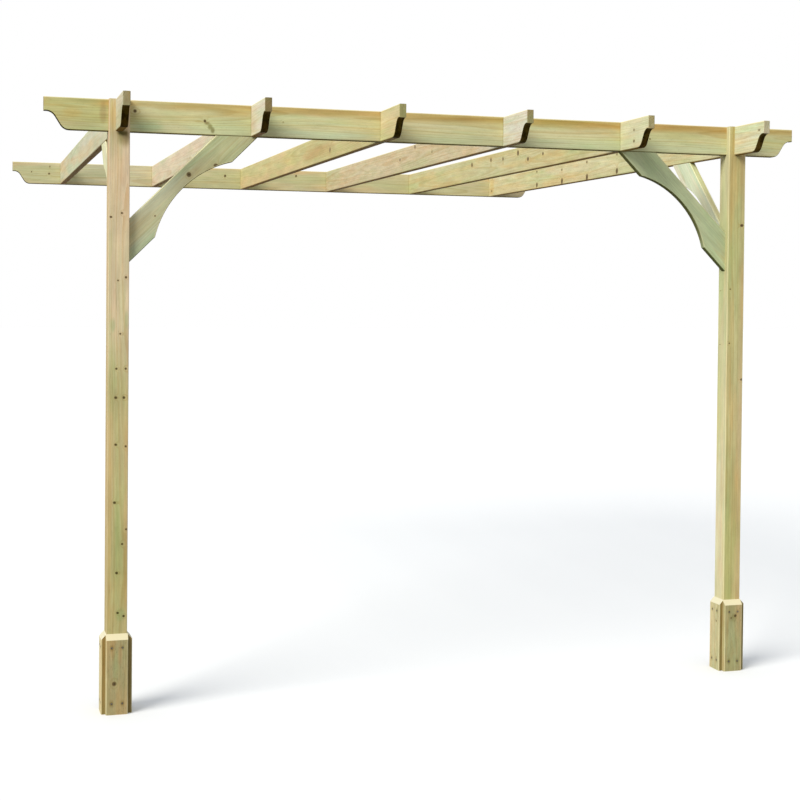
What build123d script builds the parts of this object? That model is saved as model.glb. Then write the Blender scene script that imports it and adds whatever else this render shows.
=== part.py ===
from build123d import *

import os
from math import cos, radians, sin, tan

# Timber pergola that leans on a house wall.
#
# Two posts carry a front beam and a second beam lies flat on the wall. Six rafters cross
# both beams in halving joints, so that rafters and beams finish level above and below.
# Each post is slotted crosswise at its top to take the front beam and an end rafter, is
# braced to both, and has a skirt of four boards round its foot.
#
# Millimetres, +Z up. The origin is the middle of the wall beam's back face, the face that
# lies on the wall. +Y points into the wall and +X to the right as seen from the garden.

# Planed timber
board_thickness = 32
board_depth = 140
post_width = 90
arris_radius = 3

# Layout
overall_height = 2680
wall_to_front_beam = 3500
rafter_pitch = 600
rafter_count = 6
beam_overhang = 320
rafter_overhang = 320

# Shaped ends of beams and rafters: a plumb nose, a hollow cove, a slope, a round belly
nose_height = 60
nose_return = 10
ogee_radius = 45
ogee_slope = 58

# Knee braces: a board set at 45 degrees with a scooped lower edge
brace_outer_leg = 380
brace_inner_leg = 570
brace_nose = 115
brace_scoop = 68
brace_arris_bevel = 2.5

# Skirt boards round the foot of each post
foot_height = 350
foot_width = 95
foot_thickness = 22
foot_bevel_height = 24

# Sideways play of a board in its slot, on each side
slot_clearance = 0.25

top_z = board_depth / 2
underside_z = -board_depth / 2
ground_z = top_z - overall_height
beam_length = rafter_pitch * (rafter_count - 1) + 2 * beam_overhang
post_x = rafter_pitch * (rafter_count - 1) / 2
front_beam_y = -wall_to_front_beam
wall_beam_y = -board_thickness / 2
rafter_tip_y = front_beam_y - rafter_overhang
slot_width = board_thickness + 2 * slot_clearance
up = Vector(0, 0, 1)

# The cove and the belly each take the same run and drop, and a straight slope joins them
slope = radians(ogee_slope)
arc_run = ogee_radius * sin(slope)
arc_drop = ogee_radius * (1 - cos(slope))
slope_drop = board_depth - nose_height - 2 * arc_drop
slope_run = slope_drop / tan(slope)
ogee_length = nose_return + 2 * arc_run + slope_run


def draw_shaped_end(tip, inward):
    """Draw the end of a board from its top corner down to where its underside starts."""
    nose_z = top_z - nose_height
    cove_start = (tip + inward * nose_return, nose_z)
    slope_start = (tip + inward * (nose_return + arc_run), nose_z - arc_drop)
    slope_end = (tip + inward * (ogee_length - arc_run), underside_z + arc_drop)
    heel = (tip + inward * ogee_length, underside_z)
    Polyline((tip, top_z), (tip, nose_z), cove_start)
    TangentArc(cove_start, slope_start, tangent=(inward, 0))
    Line(slope_start, slope_end)
    TangentArc(slope_end, heel, tangent=(inward * cos(slope), -sin(slope)))


def make_beam(centre_y):
    """A beam with two shaped ends and a half-depth slot in its top for every rafter."""
    with BuildPart() as beam:
        with BuildSketch(Plane.XZ.offset(-centre_y)):
            with BuildLine():
                end = beam_length / 2
                draw_shaped_end(-end, 1)
                draw_shaped_end(end, -1)
                Line((-end, top_z), (end, top_z))
                Line((ogee_length - end, underside_z), (end - ogee_length, underside_z))
            make_face()
        extrude(amount=board_thickness / 2, both=True)
        sides = beam.faces().filter_by(Axis.Y)
        fillet(sides.edges(), radius=arris_radius)
        with BuildSketch(Plane.XY.offset(top_z)):
            with Locations((0, centre_y)):
                with GridLocations(rafter_pitch, 0, rafter_count, 1):
                    Rectangle(slot_width, 2 * board_thickness)
        extrude(amount=-board_depth / 2, mode=Mode.SUBTRACT)
    return beam.part


def make_rafter(centre_x):
    """A rafter, shaped at its front end and halved from below over the two beams."""
    with BuildPart() as rafter:
        with BuildSketch(Plane.YZ.offset(centre_x)):
            with BuildLine():
                draw_shaped_end(rafter_tip_y, 1)
                heel = rafter_tip_y + ogee_length
                Polyline((rafter_tip_y, top_z), (0, top_z), (0, underside_z), (heel, underside_z))
            make_face()
        extrude(amount=board_thickness / 2, both=True)
        sides = rafter.faces().filter_by(Axis.X)
        back_end = rafter.faces().sort_by(Axis.Y)[-1]
        fillet(sides.edges() - back_end.edges(), radius=arris_radius)
        with BuildSketch(Plane.XY.offset(underside_z)):
            with Locations((centre_x, front_beam_y)):
                Rectangle(2 * board_thickness, slot_width)
            with Locations((centre_x, wall_beam_y)):
                Rectangle(2 * board_thickness, slot_width)
        extrude(amount=board_depth / 2, mode=Mode.SUBTRACT)
    return rafter.part


def make_post(centre_x):
    """A square post with a cross of slots that leaves four prongs at its top."""
    with BuildPart() as post:
        with BuildSketch(Plane.XY.offset(ground_z)):
            with Locations((centre_x, front_beam_y)):
                Rectangle(post_width, post_width)
        extrude(amount=overall_height)
        fillet(post.edges().filter_by(Axis.Z), radius=arris_radius)
        with BuildSketch(Plane.XY.offset(top_z)):
            with Locations((centre_x, front_beam_y)):
                Rectangle(2 * post_width, slot_width)
                Rectangle(slot_width, 2 * post_width)
        extrude(amount=-board_depth, mode=Mode.SUBTRACT)
    return post.part


def make_brace(corner, away):
    """A knee brace from the face of a post, at corner, to the timber above it."""
    with BuildPart() as brace:
        with BuildSketch(Plane(corner, x_dir=away, z_dir=away.cross(up))):
            with BuildLine():
                upper_nose = (brace_inner_leg - brace_nose, -brace_nose)
                lower_nose = (brace_nose, brace_nose - brace_inner_leg)
                Polyline(
                    lower_nose,
                    (0, -brace_inner_leg),
                    (0, -brace_outer_leg),
                    (brace_outer_leg, 0),
                    (brace_inner_leg, 0),
                    upper_nose,
                )
                SagittaArc(upper_nose, lower_nose, -brace_scoop)
            make_face()
        extrude(amount=board_thickness / 2, both=True)
        sides = brace.faces().sort_by(SortBy.AREA)[-2:]
        top_end = brace.faces().sort_by(Axis.Z)[-1]
        post_end = brace.faces().sort_by(Axis(corner, away))[0]
        exposed = sides.edges() - top_end.edges() - post_end.edges()
        chamfer(exposed, length=brace_arris_bevel)
    return brace.part


def make_foot_board(post_centre_x, outward):
    """One skirt board: its back corners are eased to clear its neighbours, its top bevelled."""
    face_centre = Vector(post_centre_x, front_beam_y, ground_z) + outward * (post_width / 2)
    half_back = post_width / 2
    half_width = foot_width / 2
    easing = half_width - half_back
    with BuildPart() as board:
        with BuildSketch(Plane(face_centre, x_dir=outward, z_dir=up)):
            Polygon(
                (0, -half_back),
                (easing, -half_width),
                (foot_thickness, -half_width),
                (foot_thickness, half_width),
                (easing, half_width),
                (0, half_back),
                align=None,
            )
        extrude(amount=foot_height)
        outer_face = board.faces().sort_by(Axis(face_centre, outward))[-1]
        fillet(outer_face.edges().filter_by(Axis.Z), radius=arris_radius)
        with BuildSketch(Plane(face_centre, x_dir=outward, z_dir=outward.cross(up))):
            Polygon(
                (0, 0),
                (foot_thickness, 0),
                (foot_thickness, foot_height - foot_bevel_height),
                (0, foot_height),
                align=None,
            )
        extrude(amount=half_width, both=True, mode=Mode.INTERSECT)
    return board.part


pieces = {
    "front_beam": make_beam(front_beam_y),
    "wall_beam": make_beam(wall_beam_y),
}
for number in range(rafter_count):
    pieces[f"rafter_{number + 1}"] = make_rafter(number * rafter_pitch - post_x)

toward_wall = Vector(0, 1, 0)
compass = {
    "front": Vector(0, -1, 0),
    "back": Vector(0, 1, 0),
    "left": Vector(-1, 0, 0),
    "right": Vector(1, 0, 0),
}
for side, centre_x, inward in (
    ("left", -post_x, Vector(1, 0, 0)),
    ("right", post_x, Vector(-1, 0, 0)),
):
    post_head = Vector(centre_x, front_beam_y, underside_z)
    pieces[f"post_{side}"] = make_post(centre_x)
    pieces[f"brace_{side}_beam"] = make_brace(post_head + inward * (post_width / 2), inward)
    pieces[f"brace_{side}_rafter"] = make_brace(
        post_head + toward_wall * (post_width / 2), toward_wall
    )
    for facing, outward in compass.items():
        pieces[f"foot_board_{side}_{facing}"] = make_foot_board(centre_x, outward)

os.makedirs("parts", exist_ok=True)
for name, piece in pieces.items():
    piece.label = name
    export_step(piece, f"parts/{name}.step")
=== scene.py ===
import math

import bmesh
import bpy
from mathutils import Euler, Matrix, Vector


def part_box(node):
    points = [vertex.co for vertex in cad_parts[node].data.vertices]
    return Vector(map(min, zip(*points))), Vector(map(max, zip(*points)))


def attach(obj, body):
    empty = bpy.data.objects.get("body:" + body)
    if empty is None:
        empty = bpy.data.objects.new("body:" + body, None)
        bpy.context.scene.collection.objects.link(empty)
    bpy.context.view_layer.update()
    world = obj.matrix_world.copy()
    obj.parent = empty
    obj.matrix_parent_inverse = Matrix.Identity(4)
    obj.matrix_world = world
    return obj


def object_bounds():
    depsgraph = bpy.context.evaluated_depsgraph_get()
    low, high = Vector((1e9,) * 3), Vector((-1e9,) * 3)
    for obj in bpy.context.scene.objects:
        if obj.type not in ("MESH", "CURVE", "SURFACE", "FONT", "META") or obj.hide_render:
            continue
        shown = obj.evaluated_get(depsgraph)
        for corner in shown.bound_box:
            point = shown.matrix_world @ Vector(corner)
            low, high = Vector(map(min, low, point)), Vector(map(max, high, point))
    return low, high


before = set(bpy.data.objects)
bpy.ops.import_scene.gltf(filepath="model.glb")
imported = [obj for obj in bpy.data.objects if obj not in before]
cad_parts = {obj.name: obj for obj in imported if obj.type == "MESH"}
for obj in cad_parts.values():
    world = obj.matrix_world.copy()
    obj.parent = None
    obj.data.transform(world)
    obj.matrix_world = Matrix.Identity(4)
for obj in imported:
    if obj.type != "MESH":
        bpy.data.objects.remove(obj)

cad_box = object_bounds()

# ---------------------------------------------------------------- node helpers


def fill(tree, target, value):
    """Give one input a plain value, or link it to another node's output."""
    if isinstance(value, bpy.types.NodeSocket):
        tree.links.new(value, target)
    else:
        target.default_value = value


def add(tree, kind, inputs=None, **settings):
    """Make a shader node, set its properties and fill its inputs."""
    node = tree.nodes.new(kind)
    for name, value in settings.items():
        setattr(node, name, value)
    for name, value in (inputs or {}).items():
        fill(tree, node.inputs[name], value)
    return node


def maths(tree, operation, *values):
    """One Math node."""
    return add(tree, "ShaderNodeMath", dict(enumerate(values)), operation=operation).outputs[0]


def vectors(tree, operation, *values):
    """One Vector Math node; dot products and lengths come from its second output."""
    node = add(tree, "ShaderNodeVectorMath", operation=operation)
    for index, value in enumerate(values):
        key = "Scale" if operation == "SCALE" and index == 1 else index
        fill(tree, node.inputs[key], value)
    return node.outputs[1 if operation in ("DOT_PRODUCT", "LENGTH") else 0]


def ease(tree, value, start, end, low=0.0, high=1.0):
    """Smooth step of a value, from low at start to high at end."""
    inputs = {0: value, 1: start, 2: end, 3: low, 4: high}
    return add(tree, "ShaderNodeMapRange", inputs, interpolation_type="SMOOTHSTEP").outputs[0]


def bare_tree(owner):
    """Turn on the nodes of a material or a world, and clear them."""
    owner.use_nodes = True
    owner.node_tree.nodes.clear()
    return owner.node_tree


def opaque(colour):
    """A plain colour with its alpha added; another node's output is passed on as it is."""
    return colour if isinstance(colour, bpy.types.NodeSocket) else (*colour, 1.0)


def blend(tree, factor, first, second, mode="MIX"):
    """Mix two colours."""
    inputs = {0: factor, 6: opaque(first), 7: opaque(second)}
    return add(tree, "ShaderNodeMix", inputs, data_type="RGBA", blend_type=mode).outputs[2]


def tinted(tree, factor, colour, tint):
    """A colour multiplied by a tint, as far as the factor says."""
    return blend(tree, factor, colour, tint, "MULTIPLY")


def stretched_noise(tree, point, scale, detail=2.0, roughness=0.5, shift=0.0):
    """Noise drawn out along the grain: scale is in cycles a metre along, across and up."""
    moved = vectors(tree, "MULTIPLY", point, scale)
    moved = vectors(tree, "ADD", moved, (shift, shift * 1.7, shift * 0.6))
    inputs = {"Vector": moved, "Scale": 1.0, "Detail": detail, "Roughness": roughness}
    return add(tree, "ShaderNodeTexNoise", inputs).outputs[0]


def make_group(name, inputs, outputs):
    """An empty node group with named sockets, and its input sockets."""
    group = bpy.data.node_groups.new(name, "ShaderNodeTree")
    for way, sockets in (("INPUT", inputs), ("OUTPUT", outputs)):
        for label, kind in sockets.items():
            group.interface.new_socket(label, in_out=way, socket_type="NodeSocket" + kind)
    return group, add(group, "NodeGroupInput").outputs


def use_group(tree, group, inputs):
    """Place a node group, fill its inputs, and give its output sockets."""
    node = tree.nodes.new("ShaderNodeGroup")
    node.node_tree = group
    for name, value in inputs.items():
        fill(tree, node.inputs[name], value)
    return node.outputs


# ---------------------------------------------------------------- timber

# Tints of the figure, which multiply a board's own tone
late_wood = (0.82, 0.70, 0.52)
pink_stain = (1.01, 0.94, 0.91)
green_stain = (0.94, 0.99, 0.94)
knot_halo = (0.85, 0.68, 0.46)
# A darker band beside each board that crosses
crossing_band_tint = (0.45, 0.42, 0.25)
# Painted shade along the lower edge of a level board
lower_edge_shade = (0.42, 0.38, 0.26)
# Painted shade under the ogee ends, whose sawn curves are also partly end grain
ogee_shade_deep = (0.09, 0.09, 0.05)
ogee_shade_thin = (0.30, 0.31, 0.16)

# Colours that cover it
knot_dark_ring = (0.13, 0.085, 0.030)
knot_light_ring = (0.22, 0.15, 0.060)
knot_pith = (0.030, 0.022, 0.010)
knot_bark = (0.06, 0.035, 0.015)
speck_brown = (0.17, 0.12, 0.06)
split_brown = (0.10, 0.07, 0.04)
end_ring = (0.14, 0.10, 0.04)

# Patterns of the wood, in cycles a metre along, across and up
heart_bends = (0.7, 0.0, 0.0)
ring_wobble = (2.0, 22.0, 22.0)
fine_fibres = (14.0, 1100.0, 1100.0)
coarse_fibres = (3.5, 260.0, 260.0)
warm_bands = (0.9, 14.0, 14.0)
green_bands = (1.2, 11.0, 11.0)
blotches = (3.4, 17.0, 17.0)
stains = (2.8, 13.0, 13.0)
dirt_specks = (90.0, 260.0, 260.0)
drying_splits = (1.6, 75.0, 75.0)
split_areas = (1.3, 9.0, 9.0)
ragged_edges = (5.0, 30.0, 30.0)
# Lengths over which the arris wear and its painted highlight vary
worn_lit_lengths = (4.0, 40.0, 40.0)

# Sizes on the boards, in metres
heart_wander = 0.05
ring_wobble_depth = 0.008
bend_round_knot = 0.012
# The pale arris band: wear, and partly painted highlight
arris_width = 0.0062
arris_worn_lit_to = 0.0028
# Painted shade along a level board's lower edge
lower_edge_shade_width = 0.0065
lower_edge_shade_dark_to = 0.0030
# No pale arris band this near a level board's lower edge, where the painted highlight would not fall
no_wear_highlight_below = (0.006, 0.012)
# Width of the darker band beside a crossing board
crossing_band_width = 0.006
ogee_length = 0.110


def make_knot_group():
    """How near a point is to a branch that grew out from the heart, in knot radii."""
    group, given = make_group(
        "branch_knot",
        {
            "Point": "Vector",
            "Heart": "Vector",
            "Direction": "Vector",
            "Size": "Float",
            "Nearest": "Float",
        },
        {"Nearest": "Float"},
    )
    from_heart = vectors(group, "SUBTRACT", given["Point"], given["Heart"])
    along = vectors(group, "DOT_PRODUCT", from_heart, given["Direction"])
    on_axis = vectors(group, "SCALE", given["Direction"], along)
    off_axis = vectors(group, "LENGTH", vectors(group, "SUBTRACT", from_heart, on_axis))
    radius = maths(group, "MULTIPLY", given["Size"], ease(group, along, 0.0, 0.07, 0.05, 1.1))
    ratio = maths(group, "DIVIDE", off_axis, maths(group, "MAXIMUM", radius, 0.0002))
    add(group, "NodeGroupOutput", {"Nearest": maths(group, "MINIMUM", ratio, given["Nearest"])})
    return group


def share_mask(tree, noise, share):
    """A soft-edged mask that covers more of the wood as the share rises."""
    edge = maths(tree, "SUBTRACT", 0.70, maths(tree, "MULTIPLY", share, 0.4))
    return ease(tree, noise, maths(tree, "SUBTRACT", edge, 0.12), maths(tree, "ADD", edge, 0.13))


def make_pine_group():
    """Planed, pressure-treated pine: rings round a heart line, fibres, streaks and knots."""
    group, given = make_group(
        "treated_pine",
        {
            "Point": "Vector",
            "Heart": "Vector",
            "Seed": "Float",
            "Ring width": "Float",
            "Ring strength": "Float",
            "Nearest knot": "Float",
            "Pale": "Color",
            "Warm": "Color",
            "Green": "Color",
            "Warm share": "Float",
            "Green share": "Float",
            "Mottle": "Float",
            "Specks": "Float",
            "Checks": "Float",
            "End grain": "Float",
            "End tint": "Color",
        },
        {"Color": "Color", "Roughness": "Float", "Height": "Float"},
    )
    seed_shift = vectors(group, "SCALE", (1.0, 0.31, 0.17), given["Seed"])
    point = vectors(group, "ADD", given["Point"], seed_shift)

    # Rings round the heart line, which wanders along the length and bends round each knot
    wander = add(
        group,
        "ShaderNodeTexNoise",
        {"Vector": vectors(group, "MULTIPLY", point, heart_bends), "Detail": 1.0, "Scale": 1.0},
    ).outputs[1]
    wander = vectors(group, "SUBTRACT", wander, (0.5, 0.5, 0.5))
    wander = vectors(group, "SCALE", wander, heart_wander)
    across = vectors(group, "SUBTRACT", vectors(group, "ADD", given["Point"], wander), given["Heart"])
    reach = vectors(group, "LENGTH", vectors(group, "MULTIPLY", across, (0.0, 1.0, 1.0)))
    wobble = stretched_noise(group, point, ring_wobble)
    near = given["Nearest knot"]
    swirl = maths(group, "EXPONENT", maths(group, "MULTIPLY", maths(group, "POWER", near, 2.0), -0.22))
    reach = maths(group, "ADD", reach, maths(group, "MULTIPLY", wobble, ring_wobble_depth))
    reach = maths(group, "SUBTRACT", reach, maths(group, "MULTIPLY", swirl, bend_round_knot))
    rings = maths(group, "DIVIDE", reach, given["Ring width"])
    part = maths(group, "FRACT", rings)
    late = maths(
        group, "MULTIPLY", ease(group, part, 0.25, 0.9), ease(group, part, 0.93, 1.0, 1.0, 0.0)
    )
    year = add(
        group, "ShaderNodeTexWhiteNoise", {"W": maths(group, "FLOOR", rings)}, noise_dimensions="1D"
    ).outputs[0]
    late = maths(group, "MULTIPLY", late, ease(group, year, 0.0, 1.0, 0.35, 1.0))

    # Fibres, broad bands of tone and blotches where the preservative took unevenly
    fine = stretched_noise(group, point, fine_fibres)
    coarse = stretched_noise(group, point, coarse_fibres, detail=3.0, roughness=0.6)
    fine_part = maths(group, "MULTIPLY", fine, 0.45)
    fibre = maths(group, "ADD", fine_part, maths(group, "MULTIPLY", coarse, 0.55))
    warm = stretched_noise(group, point, warm_bands, detail=3.0, roughness=0.55, shift=3.1)
    green = stretched_noise(group, point, green_bands, detail=3.0, roughness=0.55, shift=8.7)
    spread = vectors(group, "SCALE", point, given["Mottle"])
    blotch = stretched_noise(group, spread, blotches, detail=5.0, roughness=0.68, shift=5.3)
    colour = blend(group, share_mask(group, warm, given["Warm share"]), given["Pale"], given["Warm"])
    colour = blend(group, share_mask(group, green, given["Green share"]), colour, given["Green"])
    colour = tinted(group, maths(group, "MULTIPLY", late, given["Ring strength"]), colour, late_wood)
    shade = ease(group, fibre, 0.3, 0.72, 0.90, 1.10)
    shade = maths(group, "MULTIPLY", shade, ease(group, blotch, 0.30, 0.70, 1.09, 0.89))
    stain = stretched_noise(group, spread, stains, detail=4.0, roughness=0.6, shift=12.4)
    pinkish = blend(group, ease(group, stain, 0.52, 0.66), (1.0, 1.0, 1.0), pink_stain)
    stained = blend(group, ease(group, stain, 0.48, 0.34), pinkish, green_stain)
    colour = tinted(group, 1.0, colour, stained)
    grey = add(group, "ShaderNodeCombineColor", {0: shade, 1: shade, 2: shade}).outputs[0]
    colour = tinted(group, 1.0, colour, grey)

    # Knots: a thin warm halo, a core with its own rings that darkens inwards, a dark bark line
    halo = maths(group, "EXPONENT", maths(group, "MULTIPLY", near, -1.0))
    colour = tinted(group, maths(group, "MULTIPLY", halo, 0.8), colour, knot_halo)
    core_rings = ease(group, maths(group, "SINE", maths(group, "MULTIPLY", near, 22.0)), -1.0, 1.0)
    core = blend(group, core_rings, knot_dark_ring, knot_light_ring)
    core = blend(group, ease(group, near, 0.85, 0.30, 0.0, 0.85), core, knot_pith)
    colour = blend(group, ease(group, near, 1.15, 0.80, 0.0, 0.92), colour, core)
    bark = maths(group, "POWER", maths(group, "SUBTRACT", near, 1.0), 2.0)
    bark = maths(group, "EXPONENT", maths(group, "MULTIPLY", bark, -60.0))
    colour = blend(group, maths(group, "MULTIPLY", bark, 0.6), colour, knot_bark)

    # Specks of dirt and resin
    speck = stretched_noise(group, point, dirt_specks, shift=4.7)
    speck = maths(group, "MULTIPLY", ease(group, speck, 0.60, 0.74), given["Specks"])
    colour = blend(group, speck, colour, speck_brown)

    # Drying checks: short dark splits that follow the grain
    split = stretched_noise(group, point, drying_splits, detail=1.0, shift=1.9)
    split = maths(group, "ABSOLUTE", maths(group, "SUBTRACT", split, 0.5))
    where = stretched_noise(group, point, split_areas, detail=1.0, shift=6.4)
    split = maths(group, "MULTIPLY", ease(group, split, 0.012, 0.0), ease(group, where, 0.56, 0.62))
    split = maths(group, "MULTIPLY", split, given["Checks"])
    colour = blend(group, maths(group, "MULTIPLY", split, 0.6), colour, split_brown)

    # End grain drinks more preservative, so it is darker and its rings are plainer
    end_colour = tinted(group, 1.0, colour, given["End tint"])
    end_colour = blend(group, maths(group, "MULTIPLY", late, 0.45), end_colour, end_ring)
    colour = blend(group, given["End grain"], colour, end_colour)

    rough = ease(group, fibre, 0.3, 0.7, 0.68, 0.54)
    rough = maths(group, "ADD", rough, maths(group, "MULTIPLY", given["End grain"], 0.15))
    raised_rings = maths(group, "MULTIPLY", late, 0.35)
    height = maths(group, "ADD", maths(group, "MULTIPLY", fibre, 0.6), raised_rings)
    height = maths(group, "SUBTRACT", height, maths(group, "MULTIPLY", split, 1.6))
    add(group, "NodeGroupOutput", {"Color": colour, "Roughness": rough, "Height": height})
    return group


knot_group = make_knot_group()
pine_group = make_pine_group()


def swung(turn):
    """The same lie of the grain, swung a quarter turn to the left seen from above."""
    return tuple((Matrix.Rotation(math.pi / 2, 3, "Z") @ Euler(turn).to_matrix()).to_euler())


# How the grain lies in each kind of board: its local X runs along the board
along_x = (0.0, 0.0, 0.0)
along_y = (0.0, 0.0, math.pi / 2)
upright = (0.0, -math.pi / 2, 0.0)
rising_right = (0.0, -math.pi / 4, 0.0)
rising_left = (0.0, math.pi / 4, 0.0)
leaning = {
    "brace_left_beam": rising_right,
    "brace_right_beam": rising_left,
    "brace_left_rafter": swung(rising_right),
    "brace_right_rafter": swung(rising_right),
}


def tone(colour, red, green, blue):
    """The same timber with each channel scaled."""
    return (colour[0] * red, colour[1] * green, colour[2] * blue)


def treated_timber(
    node_name,
    turn,
    heart,
    pale,
    warm=None,
    green=None,
    warm_share=0.5,
    green_share=0.5,
    knots=(),
    face=-1,
    fades=(),
    patches=(),
    sides=(),
    joints=None,
    scoop=None,
    worn_and_lit=(0.80, 0.73, 0.42),
    wear_and_highlight_amount=0.6,
    end_tint=(0.50, 0.47, 0.38),
    end_start=0.25,
    mottle=1.0,
    specks=0.15,
    checks=0.0,
    ring=0.006,
    ring_strength=0.55,
    fresh_cut=None,
    underside_shade_tint=(0.86, 0.64, 0.36),
    shaped_ends=(),
    seed=0.0,
):
    """Dress one board in its own timber, and return the material.

    turn lays the grain along the board, and heart is where the tree's heart runs, across
    and up from the board's middle. knots are (along, up, radius) on the face that face
    names. fades are (axis, start, end, tint), with axis 0 along the board and 2 up it. patches
    are (along, up, half length, half width, tint); sides are (direction, tint), and fresh_cut
    is the (direction, colour) of the face that was cut last. joints are the lines, (start,
    pitch, half thickness), where other boards cross. scoop is the (straight edge, centre,
    radius) of a board with one hollow edge. Faces that look down get a painted shade in the
    tint given for them, and shaped_ends are the ends, -1 or 1, with an ogee.
    """
    low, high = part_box(node_name)
    frame_turn = Euler(turn).to_matrix()
    size = frame_turn.inverted() @ ((high - low) / 2)
    half_thickness, half_width = abs(size.y), abs(size.z)
    material = bpy.data.materials.new(f"{node_name}_pine")
    tree = bare_tree(material)
    place = add(tree, "ShaderNodeTexCoord").outputs
    lay = add(
        tree,
        "ShaderNodeMapping",
        {"Vector": place["Object"], "Location": (low + high) / 2, "Rotation": turn},
        vector_type="TEXTURE",
    ).outputs[0]
    axes = add(tree, "ShaderNodeSeparateXYZ", {0: lay}).outputs

    nearest = 60.0
    for along, up, radius in knots:
        root = Vector((along - 0.012, heart[0], heart[1]))
        tip = Vector((along, face * half_thickness, up))
        knot = {"Point": lay, "Heart": root, "Direction": (tip - root).normalized(), "Size": radius}
        nearest = use_group(tree, knot_group, {**knot, "Nearest": nearest})[0]
    grain = tuple(frame_turn @ Vector((1.0, 0.0, 0.0)))
    level = turn in (along_x, along_y)
    across_grain = maths(tree, "ABSOLUTE", vectors(tree, "DOT_PRODUCT", place["Normal"], grain))
    pine = use_group(
        tree,
        pine_group,
        {
            "Point": lay,
            "Heart": (0.0, *heart),
            "Seed": seed,
            "Ring width": ring,
            "Ring strength": ring_strength,
            "Nearest knot": nearest,
            "Pale": opaque(pale),
            "Warm": opaque(warm or tone(pale, 1.0, 0.87, 0.70)),
            "Green": opaque(green or tone(pale, 0.86, 0.95, 0.84)),
            "Warm share": warm_share,
            "Green share": green_share,
            "Mottle": mottle,
            "Specks": specks,
            "Checks": checks,
            "End grain": ease(tree, across_grain, end_start, 0.95),
            "End tint": opaque(end_tint),
        },
    )
    colour = pine["Color"]

    # Tone that drifts along or across the board, and local patches
    ragged = stretched_noise(tree, lay, ragged_edges, detail=3.0, roughness=0.6, shift=seed)
    ragged = maths(tree, "SUBTRACT", ragged, 0.5)
    for axis, start, end, tint in fades:
        swing = maths(tree, "MULTIPLY", ragged, 0.9 * (end - start))
        mask = ease(tree, maths(tree, "ADD", axes[axis], swing), start, end)
        colour = tinted(tree, mask, colour, tint)
    for along, up, half_length, half_up, tint in patches:
        offset = vectors(tree, "SUBTRACT", lay, (along, 0.0, up))
        offset = vectors(tree, "MULTIPLY", offset, (1 / half_length, 0.0, 1 / half_up))
        away = maths(tree, "ADD", vectors(tree, "LENGTH", offset), ragged)
        colour = tinted(tree, ease(tree, away, 1.1, 0.3), colour, tint)
    for direction, tint in sides:
        facing = vectors(tree, "DOT_PRODUCT", place["Normal"], Vector(direction).normalized())
        colour = tinted(tree, ease(tree, facing, 0.75, 0.9), colour, tint)

    if fresh_cut:
        direction, cream = fresh_cut
        facing = vectors(tree, "DOT_PRODUCT", place["Normal"], Vector(direction).normalized())
        cream = blend(tree, 0.15, cream, colour)
        colour = blend(tree, ease(tree, facing, 0.85, 0.95), colour, cream)

    # Painted shade on faces that look down: their colour is darkened, and further down their specular
    # level is turned down too. Under the shaped ends the painted shade is deeper; those sawn curves are
    # also partly end grain, which drinks the preservative.
    downward = vectors(tree, "DOT_PRODUCT", place["Normal"], (0.0, 0.0, -1.0))
    underside_shade_mask = ease(tree, downward, 0.15, 0.45)
    colour = tinted(tree, underside_shade_mask, colour, underside_shade_tint)
    # Deeper painted shade under the sawn ogee curves
    for way in shaped_ends:
        to_tip = maths(tree, "SUBTRACT", abs(size.x), maths(tree, "MULTIPLY", axes[0], way))
        near_tip = ease(tree, to_tip, ogee_length + 0.015, ogee_length - 0.005)
        ogee_shade_mask = maths(tree, "MULTIPLY", near_tip, ease(tree, downward, 0.08, 0.25))
        ogee_shade = blend(tree, ease(tree, ragged, -0.14, 0.12), ogee_shade_deep, ogee_shade_thin)
        colour = tinted(tree, ogee_shade_mask, colour, ogee_shade)

    # Arrises are rubbed pale, unevenly along their length. As the band is kept off faces that look down
    # and off a level board's lower edge, it is partly a painted highlight where the light falls.
    from_edge = maths(tree, "SUBTRACT", half_width, maths(tree, "ABSOLUTE", axes[2]))
    if scoop:
        straight, centre, radius = scoop
        hollow = vectors(tree, "MULTIPLY", vectors(tree, "SUBTRACT", lay, (0, 0, centre)), (1, 0, 1))
        from_hollow = maths(tree, "SUBTRACT", vectors(tree, "LENGTH", hollow), radius)
        from_hollow = maths(tree, "ABSOLUTE", from_hollow)
        from_edge = maths(tree, "MINIMUM", maths(tree, "SUBTRACT", straight, axes[2]), from_hollow)
    from_face = maths(tree, "SUBTRACT", half_thickness, maths(tree, "ABSOLUTE", axes[1]))
    inset = maths(tree, "MAXIMUM", from_edge, from_face)
    uneven = stretched_noise(tree, lay, worn_lit_lengths, detail=3.0, shift=2.2)
    wear_and_highlight = ease(tree, uneven, 0.3, 0.6, 0.45, 1.0)
    wear_and_highlight = maths(tree, "MULTIPLY", wear_and_highlight, ease(tree, inset, arris_width, arris_worn_lit_to, 0.0, wear_and_highlight_amount))
    wear_and_highlight = maths(tree, "MULTIPLY", wear_and_highlight, ease(tree, across_grain, 0.7, 0.3))
    wear_and_highlight = maths(tree, "MULTIPLY", wear_and_highlight, maths(tree, "SUBTRACT", 1.0, underside_shade_mask))
    if level:
        above_lower_edge = maths(tree, "ADD", axes[2], half_width)
        wear_and_highlight = maths(tree, "MULTIPLY", wear_and_highlight, ease(tree, above_lower_edge, *no_wear_highlight_below))
    colour = blend(tree, wear_and_highlight, colour, worn_and_lit)

    # Painted shade along the lower edge of a level board
    if level:
        lower_edge_shade_mask = ease(tree, above_lower_edge, lower_edge_shade_width, lower_edge_shade_dark_to, 0.0, 0.8)
        colour = tinted(tree, lower_edge_shade_mask, colour, lower_edge_shade)

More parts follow.
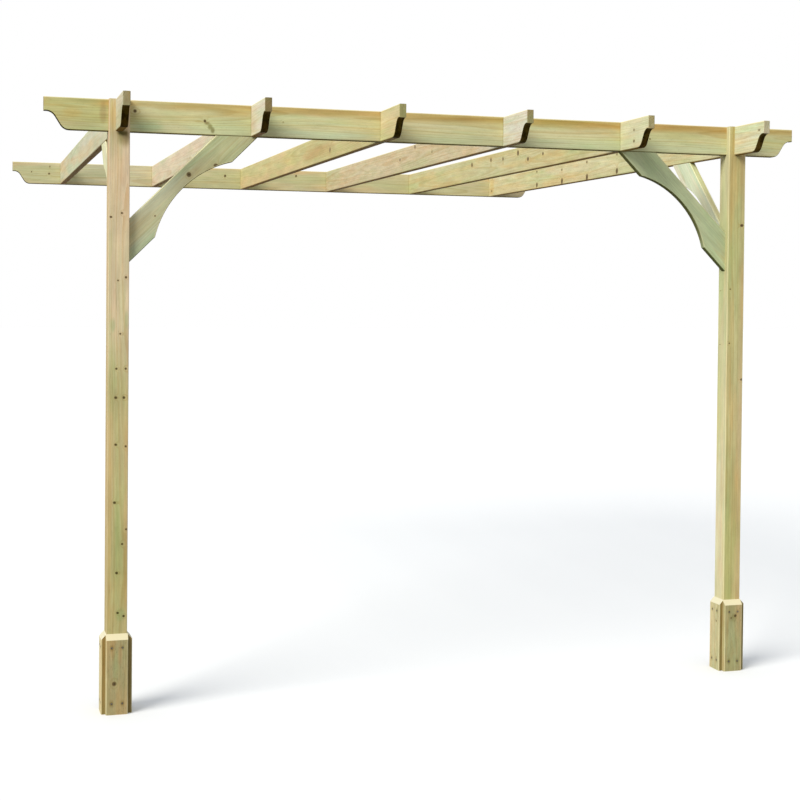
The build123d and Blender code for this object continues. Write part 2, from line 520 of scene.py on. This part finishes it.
    # A darker band each side of the line where another board crosses
    if joints:
        start, pitch, half_board = joints
        step = maths(tree, "DIVIDE", maths(tree, "SUBTRACT", axes[0], start - pitch / 2), pitch)
        step = maths(tree, "ABSOLUTE", maths(tree, "SUBTRACT", maths(tree, "FRACT", step), 0.5))
        gap = maths(tree, "SUBTRACT", maths(tree, "MULTIPLY", step, pitch), half_board)
        crossing_band = ease(tree, gap, crossing_band_width, 0.0, 0.0, 0.35)
        colour = tinted(tree, crossing_band, colour, crossing_band_tint)

    bump = add(
        tree, "ShaderNodeBump", {"Strength": 0.6, "Distance": 0.0006, "Height": pine["Height"]}
    )
    shader = add(
        tree,
        "ShaderNodeBsdfPrincipled",
        {
            "Base Color": colour,
            "Roughness": pine["Roughness"],
            "Normal": bump.outputs[0],
            "IOR": 1.45,
            # Less specular on faces that look down, part of their painted shade
            "Specular IOR Level": ease(tree, downward, 0.0, 0.5, 0.2, 0.02),
        },
    )
    add(tree, "ShaderNodeOutputMaterial", {"Surface": shader.outputs[0]})
    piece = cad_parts[node_name]
    piece.data.materials.clear()
    piece.data.materials.append(material)
    return material


# ---------------------------------------------------------------- the boards


def crossings(board, first, second, axis):
    """Where an even row of boards crosses another, along it from its middle.

    first and second are the first two boards of the row. Gives the place of the first, the
    pitch of the row and half a board's thickness.
    """
    spans = [[corner[axis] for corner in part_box(name)] for name in (board, first, second)]
    board_middle, first_middle, second_middle = (sum(span) / 2 for span in spans)
    half_board = (spans[1][1] - spans[1][0]) / 2
    return first_middle - board_middle, second_middle - first_middle, half_board


rafter_crossings = crossings("front_beam", "rafter_1", "rafter_2", axis=0)
beam_crossings = crossings("rafter_1", "front_beam", "wall_beam", axis=1)

# Beams: the front one has a yellow band along its top and is cooler below
treated_timber(
    "front_beam", along_x, heart=(0.07, 0.03), seed=1.3, shaped_ends=(-1, 1), joints=rafter_crossings,
    pale=(0.71, 0.67, 0.39), warm=(0.70, 0.62, 0.32), green=(0.63, 0.65, 0.35),
    # Tint of the painted shade on faces that look down
    underside_shade_tint=(0.42, 0.36, 0.20),
    knots=(
        (-1.431, 0.023, 0.006), (-1.124, -0.008, 0.005), (-0.771, 0.002, 0.0018),
        (1.041, -0.005, 0.003),
    ),
    fades=((2, 0.022, 0.052, (0.93, 0.74, 0.52)), (2, -0.010, -0.048, (0.94, 0.98, 1.06))),
    patches=(
        (-1.66, 0.0, 0.28, 0.12, (0.87, 0.90, 0.75)),
        # Painted shade on the beam beside the left post
        (-1.568, 0.012, 0.020, 0.065, (0.84, 0.74, 0.74)),
        (0.75, 0.055, 1.10, 0.035, (0.92, 0.85, 0.74)),
        (1.25, 0.040, 0.40, 0.045, (0.98, 0.86, 0.78)),
        (-1.20, 0.010, 0.22, 0.060, (1.06, 1.07, 1.03)),
        (1.75, 0.0, 0.18, 0.12, (0.87, 0.91, 0.84)),
        # Painted shadow of rafter 1 on the lower part of the beam
        (-1.365, -0.040, 0.09, 0.03, (0.80, 0.92, 0.88)),
        (-1.114, -0.017, 0.015, 0.010, (0.56, 0.50, 0.40)),
        (-1.101, -0.032, 0.012, 0.016, (0.56, 0.52, 0.40)),
        (-1.089, -0.049, 0.011, 0.016, (0.50, 0.46, 0.36)),
        (-1.150, -0.010, 0.03, 0.008, (0.88, 0.82, 0.70)),
        (-0.99, 0.030, 0.10, 0.018, (1.0, 0.88, 0.72)),
        (-0.35, 0.020, 0.22, 0.020, (1.0, 0.90, 0.84)),
        (0.02, 0.0, 0.50, 0.12, (0.93, 0.91, 0.89)),
        (-0.60, -0.048, 0.32, 0.035, (1.00, 1.10, 1.20)),
        (-0.60, 0.052, 0.32, 0.030, (1.00, 0.90, 0.86)),
        (0.60, 0.050, 0.28, 0.030, (0.98, 0.97, 0.86)),
        (-1.70, 0.058, 0.15, 0.035, (0.98, 1.16, 1.45)),
        (-1.37, 0.058, 0.13, 0.030, (0.96, 1.10, 1.30)),
        (-1.17, -0.045, 0.30, 0.030, (1.02, 1.09, 1.10)),
        (-1.70, 0.005, 0.05, 0.030, (1.05, 0.95, 0.82)),
    ),
)
treated_timber(
    "wall_beam", along_x, heart=(0.06, -0.04), seed=7.7, shaped_ends=(-1, 1), joints=rafter_crossings,
    # The last tint is the painted shade on faces that look down
    pale=(0.70, 0.62, 0.385), warm_share=0.4, underside_shade_tint=(0.42, 0.36, 0.20),
    patches=(
        (-1.67, 0.0, 0.26, 0.12, (0.96, 0.98, 1.00)),
        (-1.20, 0.0, 0.40, 0.12, (0.93, 0.98, 1.04)),
    ),
    knots=(
        (-1.588, -0.002, 0.005), (-1.583, 0.045, 0.003), (-1.70, 0.007, 0.003),
        (-0.422, 0.019, 0.006), (0.071, 0.034, 0.005),
    ),
    # Painted shade on the wall beam's right end, beyond the last rafter
    fades=((0, 1.52, 1.56, (0.72, 0.70, 0.74)),),
)

# Rafters: each is sawn from another tree, and most are paler towards their front end
rafters = {
    "rafter_1": dict(
        pale=(0.575, 0.56, 0.41), heart=(-0.06, 0.02), seed=2.3, warm_share=0.35, green_share=0.45,
        end_tint=(0.70, 0.66, 0.48), fades=((0, -1.50, -1.70, (1.0, 0.97, 0.96)),),
        # Tint of the painted shade on faces that look down
        underside_shade_tint=(0.95, 0.62, 0.30),
    ),
    "rafter_2": dict(
        pale=(0.67, 0.62, 0.44), heart=(-0.07, -0.03), seed=4.9, warm_share=0.55, green_share=0.3,
        warm=(0.68, 0.56, 0.40), end_tint=(0.40, 0.34, 0.185),
        knots=((-1.205, -0.046, 0.006), (0.197, -0.015, 0.006)),
        fades=((0, -1.60, -1.80, (1.03, 1.08, 1.20)),),
    ),
    "rafter_3": dict(
        pale=(0.665, 0.585, 0.335), heart=(-0.05, 0.03), seed=6.6, warm_share=0.65, green_share=0.4,
        warm=(0.66, 0.54, 0.295), end_tint=(0.60, 0.66, 0.51), knots=((-0.649, -0.023, 0.009),),
        fades=((0, -1.60, -1.10, (0.96, 0.92, 0.85)),),
        patches=(
            (-0.38, -0.010, 0.42, 0.045, (0.93, 0.76, 0.68)),
            (0.30, 0.01, 0.30, 0.05, (1.0, 1.04, 0.90)),
        ),
    ),
    "rafter_4": dict(
        pale=(0.69, 0.68, 0.58), heart=(-0.07, 0.01), seed=9.2, warm_share=0.35, green_share=0.3,
        mottle=2.5, warm=(0.69, 0.62, 0.49), end_tint=(0.55, 0.49, 0.28),
        knots=((-0.202, 0.055, 0.009), (0.089, 0.006, 0.008), (-0.514, 0.0, 0.006)),
        fades=((0, -1.60, -1.10, (0.87, 0.765, 0.575)),),
    ),
    "rafter_5": dict(
        pale=(0.67, 0.65, 0.43), heart=(-0.06, -0.02), seed=11.4, warm_share=0.45, green_share=0.35,
        mottle=2.0, end_tint=(0.70, 0.62, 0.50),
        knots=(
            (0.542, 0.032, 0.010), (0.201, 0.035, 0.009), (-0.003, 0.025, 0.008),
            (-0.245, 0.039, 0.011), (-0.400, -0.008, 0.010), (-0.621, 0.003, 0.008),
            (-1.757, 0.017, 0.005), (-1.758, -0.035, 0.006),
        ),
        fades=((0, -1.60, -1.10, (0.87, 0.845, 0.72)),),
    ),
    "rafter_6": dict(
        pale=(0.69, 0.695, 0.49), heart=(-0.08, 0.02), seed=13.8, warm_share=0.4, green_share=0.35,
        mottle=2.0, end_tint=(0.94, 0.82, 0.84),
        knots=(
            (0.963, 0.041, 0.007), (0.961, -0.046, 0.011), (0.542, 0.022, 0.007),
            (0.539, -0.050, 0.013), (0.154, 0.040, 0.007), (0.151, -0.052, 0.013),
            (-0.274, 0.050, 0.006), (-0.275, -0.046, 0.012), (1.82, -0.033, 0.006),
            (-1.865, 0.030, 0.005),
        ),
        fades=((0, -1.60, -1.10, (0.94, 0.87, 0.75)),),
        patches=((1.82, 0.0, 0.06, 0.09, (0.97, 0.85, 0.68)),),
    ),
}
for name, tones in rafters.items():
    treated_timber(
        name, along_y, face=1, shaped_ends=(-1,), joints=beam_crossings, specks=0.4, **tones
    )

# Posts: pinkish above on the left one, olive and damp-stained lower down
treated_timber(
    "post_left", upright, heart=(0.05, -0.04), pale=(0.77, 0.645, 0.40), seed=3.1, checks=0.3,
    warm=(0.76, 0.60, 0.39), green=(0.64, 0.61, 0.34), green_share=0.35, mottle=1.3,
    knots=(
        (0.827, 0.035, 0.004), (0.845, -0.012, 0.004), (0.566, -0.031, 0.0045),
        (0.552, 0.003, 0.003), (0.320, -0.008, 0.0035), (0.168, 0.008, 0.004),
        (0.168, -0.032, 0.004), (0.042, 0.010, 0.005), (0.042, -0.025, 0.005),
        (-0.163, 0.009, 0.0045), (-0.171, -0.034, 0.004), (-0.416, 0.013, 0.005),
        (-0.534, -0.038, 0.004), (-0.598, -0.021, 0.004), (-0.724, 0.002, 0.005),
        (-0.899, -0.003, 0.0045), (-0.914, -0.029, 0.0045),
    ),
    patches=(
        (1.28, 0.032, 0.09, 0.020, (1.02, 0.95, 0.80)),
        # Painted shadow under rafter 1 on the post's head, deepest right below it
        (1.175, -0.018, 0.050, 0.035, (0.58, 0.56, 0.42)),
        (1.192, -0.016, 0.016, 0.030, (0.36, 0.36, 0.22)),
        (0.358, 0.025, 0.035, 0.014, (0.78, 0.92, 0.85)),
        (0.380, -0.034, 0.050, 0.012, (0.80, 0.92, 0.85)),
        (-0.45, 0.034, 0.70, 0.012, (1.07, 0.93, 0.86)),
        (-0.45, -0.036, 0.70, 0.012, (1.07, 0.94, 0.90)),
        (-0.50, 0.004, 0.50, 0.018, (0.93, 1.01, 0.94)),
        (-0.908, -0.016, 0.035, 0.030, (0.80, 0.94, 0.88)),
    ),
    fades=((0, 0.45, 0.0, (0.78, 0.83, 0.64)), (0, -0.35, -0.75, (0.90, 0.92, 0.85))),
    sides=(((-1, 0, 0), (0.80, 0.70, 0.62)),), worn_and_lit=(0.66, 0.54, 0.36), wear_and_highlight_amount=0.35,
)
treated_timber(
    "post_right", upright, heart=(0.05, 0.05), pale=(0.62, 0.57, 0.285), seed=8.4, checks=0.3,
    warm_share=0.45, green_share=0.45, mottle=1.3,
    knots=((0.856, -0.029, 0.006), (0.097, -0.040, 0.005), (0.542, 0.030, 0.003), (0.276, 0.031, 0.003)),
    fades=((2, -0.005, -0.035, (1.02, 0.90, 0.95)), (0, -0.20, -0.60, (0.97, 0.95, 0.86))),
    patches=((-0.65, 0.052, 0.60, 0.014, (1.13, 1.15, 1.42)),),
    sides=(((-1, 0, 0), (1.03, 1.07, 1.28)),),
)

# Braces. Up from a brace's middle: its straight edge, and the centre that its scoop is struck
# from, with the scoop's radius
brace_scoop = (0.1344, -0.391, 0.459)
braces = {
    "brace_left_beam": dict(
        pale=(0.575, 0.575, 0.355), seed=5.1, warm_share=0.35, mottle=1.5,
        heart=(0.06, 0.08), fades=((0, 0.12, -0.06, (1.02, 1.05, 1.18)),), wear_and_highlight_amount=0.8,
        ring_strength=0.4, knots=((0.060, 0.093, 0.009), (-0.176, 0.066, 0.003), (0.175, 0.038, 0.008)),
    ),
    "brace_right_beam": dict(
        pale=(0.58, 0.63, 0.37), warm=(0.60, 0.59, 0.33), green=(0.53, 0.61, 0.36),
        wear_and_highlight_amount=0.35, seed=10.7, warm_share=0.2, green_share=0.4, mottle=1.5, ring_strength=0.35,
        fades=((0, 0.05, 0.25, (0.88, 0.92, 0.90)),),
    ),
    "brace_left_rafter": dict(
        pale=(0.70, 0.70, 0.47), face=1, seed=15.2, warm_share=0.3, green_share=0.4,
    ),
    "brace_right_rafter": dict(
        pale=(0.74, 0.78, 0.62), face=1, seed=17.9, warm_share=0.1, green_share=0.3,
        knots=((0.22, -0.02, 0.005),), sides=(((0, -1, 1), (0.86, 0.76, 0.54)),),
    ),
}
for name, tones in braces.items():
    # The second setting is the tint of the painted shade on faces that look down
    settings = {"heart": (0.05, 0.03), "underside_shade_tint": (0.30, 0.30, 0.18), **tones}
    treated_timber(name, leaning[name], scoop=brace_scoop, **settings)

# Skirt boards: darker, rougher timber with pale bevels and stained screw holes, and painted shade on the
# front and back edges of the side boards, which sit back in the corners
foot_low, foot_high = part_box("foot_board_left_front")
foot_height = foot_high.z - foot_low.z
foot_thickness = foot_high.y - foot_low.y
foot_bevel_height = 0.024
# Painted shade on the recessed front and back edges of the side boards
foot_edge_shade = (0.50, 0.42, 0.26)
screw_heights = (0.049, 0.293)
screw_spread = 0.023
screw_stains = tuple(
    (height - foot_height / 2, way * screw_spread, length, width, tint)
    for height in screw_heights
    for way in (-1, 1)
    for length, width, tint in (
        (0.020, 0.012, (0.80, 0.76, 0.66)),
        (0.009, 0.008, (0.60, 0.56, 0.46)),
    )
)
facings = {
    "front": Vector((0, -1, 0)),
    "back": Vector((0, 1, 0)),
    "left": Vector((-1, 0, 0)),
    "right": Vector((1, 0, 0)),
}
foot_knots = {
    "foot_board_left_front": ((-0.039, 0.012, 0.008),),
    "foot_board_left_back": ((0.052, -0.021, 0.006),),
    "foot_board_right_left": ((0.066, 0.018, 0.005),),
    "foot_board_right_front": ((0.098, -0.010, 0.006), (0.088, 0.012, 0.003)),
    "foot_board_right_back": ((-0.018, 0.010, 0.007),),
}
foot_marks = {
    "foot_board_left_front": (
        (0.09, -0.014, 0.07, 0.012, (1.05, 0.90, 0.86)),
        (0.05, 0.006, 0.10, 0.016, (0.92, 1.04, 0.98)),
    ),
    "foot_board_right_front": (
        (0.09, 0.0, 0.030, 0.030, (0.84, 0.82, 0.74)),
        (-0.03, 0.0, 0.22, 0.08, (1.00, 1.13, 1.12)),
    ),
}
seed = 9.0
seed_step = 1.7
for side in ("left", "right"):
    for facing, outward in facings.items():
        name = f"foot_board_{side}_{facing}"
        seed += seed_step
        front_or_back = facing in ("front", "back")
        treated_timber(
            name,
            upright if front_or_back else swung(upright),
            heart=(0.05, 0.01),
            pale=(0.56, 0.43, 0.222) if front_or_back else (0.63, 0.55, 0.31),
            green=(0.43, 0.38, 0.185) if front_or_back else (0.52, 0.50, 0.28),
            face=-1 if facing in ("front", "right") else 1,
            knots=foot_knots.get(name, ()),
            patches=screw_stains + foot_marks.get(name, ()),
            # Side boards: painted shade on their front and back edges
            sides=() if front_or_back else (
                ((0, -1, 0), foot_edge_shade), ((0, 1, 0), foot_edge_shade),
            ),
            fresh_cut=(
                outward * foot_bevel_height + Vector((0, 0, foot_thickness)),
                (0.74, 0.67, 0.435) if front_or_back else (0.65, 0.61, 0.44),
            ),
            end_start=0.80,
            mottle=4.5,
            specks=0.4,
            ring_strength=0.5,
            seed=seed,
        )

# ---------------------------------------------------------------- screws

bright_zinc = (0.20, 0.18, 0.14)
dull_zinc = (0.09, 0.075, 0.05)


def make_steel():
    """Dull zinc plating with fine turning marks and a little tarnish."""
    material = bpy.data.materials.new("zinc_plate")
    tree = bare_tree(material)
    place = add(tree, "ShaderNodeTexCoord").outputs["Object"]
    marks = add(tree, "ShaderNodeTexNoise", {"Vector": place, "Scale": 900.0, "Detail": 3.0})
    marks = marks.outputs[0]
    tarnish = add(tree, "ShaderNodeTexNoise", {"Vector": place, "Scale": 160.0, "Detail": 2.0})
    tarnish = tarnish.outputs[0]
    colour = blend(tree, ease(tree, tarnish, 0.4, 0.65), bright_zinc, dull_zinc)
    bump = add(tree, "ShaderNodeBump", {"Strength": 0.3, "Distance": 0.0001, "Height": marks})
    shader = add(
        tree,
        "ShaderNodeBsdfPrincipled",
        {
            "Base Color": colour,
            "Metallic": 1.0,
            "Roughness": ease(tree, marks, 0.3, 0.7, 0.35, 0.55),
            "Normal": bump.outputs[0],
        },
    )
    add(tree, "ShaderNodeOutputMaterial", {"Surface": shader.outputs[0]})
    return material


# A countersunk screw head, in metres. It has as many sides as its cross has points
head_radius = 0.0045
head_depth = 0.0025
head_proud = 0.0008
head_sides = 24
neck_share = 0.55
rim_width = 0.0008
dish_depth = 0.00015
cross_arm = 0.0025
cross_half_width = 0.0007
cross_depth = 0.0005
cross_floor_share = 0.6
turn_between_heads = 0.7


def level_ring(radius, height):
    """A ring of points round the screw's axis."""
    turns = [2 * math.pi * step / head_sides for step in range(head_sides)]
    return [Vector((radius * math.cos(turn), radius * math.sin(turn), height)) for turn in turns]


def cross_ring(share, height):
    """The outline of the cross in the screw, at a share of its full size."""
    middle = (cross_arm + cross_half_width) / 2
    quarter_cross = (
        (cross_arm, 0.0),
        (cross_arm, cross_half_width),
        (middle, cross_half_width),
        (cross_half_width, cross_half_width),
        (cross_half_width, middle),
        (cross_half_width, cross_arm),
    )
    return [
        Matrix.Rotation(quarter * math.pi / 2, 3, "Z") @ Vector((x * share, y * share, height))
        for quarter in range(4)
        for x, y in quarter_cross
    ]


# Up from the neck, over the rim to the dished flat, and down into the recess
head_rings = (
    level_ring(head_radius * neck_share, -head_depth),
    level_ring(head_radius, 0.0),
    level_ring(head_radius - rim_width, -dish_depth),
    cross_ring(1.0, -dish_depth),
    cross_ring(cross_floor_share, -dish_depth - cross_depth),
)


def draw_screw(mesh, centre, outward, turn):
    """A countersunk screw head that stands proud of the board, with a cross recess."""
    aim = outward.to_track_quat("Z", "Y").to_matrix().to_4x4()
    seat = Matrix.Translation(centre) @ aim @ Matrix.Rotation(turn, 4, "Z")
    seat = seat @ Matrix.Translation((0.0, 0.0, head_proud))
    rings = [[mesh.verts.new(seat @ point) for point in ring] for ring in head_rings]
    for lower, upper in zip(rings, rings[1:]):
        for step in range(head_sides):
            after = (step + 1) % head_sides
            mesh.faces.new((lower[step], lower[after], upper[after], upper[step]))
    mesh.faces.new(reversed(rings[0]))
    mesh.faces.new(rings[-1])


steel = make_steel()
for side in ("left", "right"):
    mesh = bmesh.new()
    count = 0
    for facing, outward in facings.items():
        low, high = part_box(f"foot_board_{side}_{facing}")
        middle = (low + high) / 2
        half_thickness = min(high.x - low.x, high.y - low.y) / 2
        sideways = Vector((0, 0, 1)).cross(outward)
        for height in screw_heights:
            for way in (-1, 1):
                centre = middle + outward * half_thickness + sideways * way * screw_spread
                centre.z = low.z + height
                draw_screw(mesh, centre, outward, turn_between_heads * count)
                count += 1
    shape = bpy.data.meshes.new(f"foot_screws_{side}")
    mesh.to_mesh(shape)
    mesh.free()
    screws = bpy.data.objects.new(f"foot_screws_{side}", shape)
    shape.materials.append(steel)
    bpy.context.collection.objects.link(screws)
    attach(screws, "root")

# ---------------------------------------------------------------- floor, light and camera


def shown_white(tree):
    """1 for what the camera sees, straight, in metal or through glass; 0 for falling light."""
    rays = add(tree, "ShaderNodeLightPath").outputs
    bounced = maths(tree, "MAXIMUM", rays["Is Glossy Ray"], rays["Is Transmission Ray"])
    return maths(tree, "MAXIMUM", rays["Is Camera Ray"], bounced)


floor_size = 120.0
floor_white = (0.80, 0.80, 0.79)
floor_bounce = (0.13, 0.105, 0.075)
sky_white = (1.0, 1.0, 1.0)
sky_light = (0.95, 1.0, 1.08)
sky_strength = 0.72

bpy.ops.mesh.primitive_plane_add(size=floor_size, location=(0.0, 0.0, cad_box[0].z))
floor = bpy.context.object
floor.name = "floor"
paint = bpy.data.materials.new("pale_floor")
tree = bare_tree(paint)
seen = shown_white(tree)
floor_colour = blend(tree, seen, floor_bounce, floor_white)
floor_shader = add(tree, "ShaderNodeBsdfDiffuse", {"Color": floor_colour})
add(tree, "ShaderNodeOutputMaterial", {"Surface": floor_shader.outputs[0]})
floor.data.materials.append(paint)

world = bpy.data.worlds.new("studio")
bpy.context.scene.world = world
tree = bare_tree(world)
seen = shown_white(tree)
soft = add(tree, "ShaderNodeBackground", {"Color": opaque(sky_light), "Strength": sky_strength})
white = add(tree, "ShaderNodeBackground", {"Color": opaque(sky_white), "Strength": 1.0})
mixed = add(tree, "ShaderNodeMixShader", {0: seen, 1: soft.outputs[0], 2: white.outputs[0]})
add(tree, "ShaderNodeOutputWorld", {"Surface": mixed.outputs[0]})

lamp = bpy.data.lights.new("softbox", "SUN")
lamp.energy = math.pi
lamp.color = (1.02, 1.0, 0.95)
lamp.angle = math.radians(32)
softbox = bpy.data.objects.new("softbox", lamp)
softbox.rotation_euler = Vector((0.68, 0.42, -0.60)).to_track_quat("-Z", "Y").to_euler()
bpy.context.collection.objects.link(softbox)

lens = bpy.data.cameras.new("camera")
lens.lens = 67.291
lens.sensor_width = 36.0
lens.shift_y = -0.0995
lens.clip_end = 500.0
camera = bpy.data.objects.new("camera", lens)
camera.location = (-2.1898, -10.1244, -0.7546)
camera.rotation_euler = tuple(math.radians(angle) for angle in (88.893, -0.536, -16.637))
bpy.context.collection.objects.link(camera)
bpy.context.scene.camera = camera
bpy.context.scene.view_settings.view_transform = "Standard"
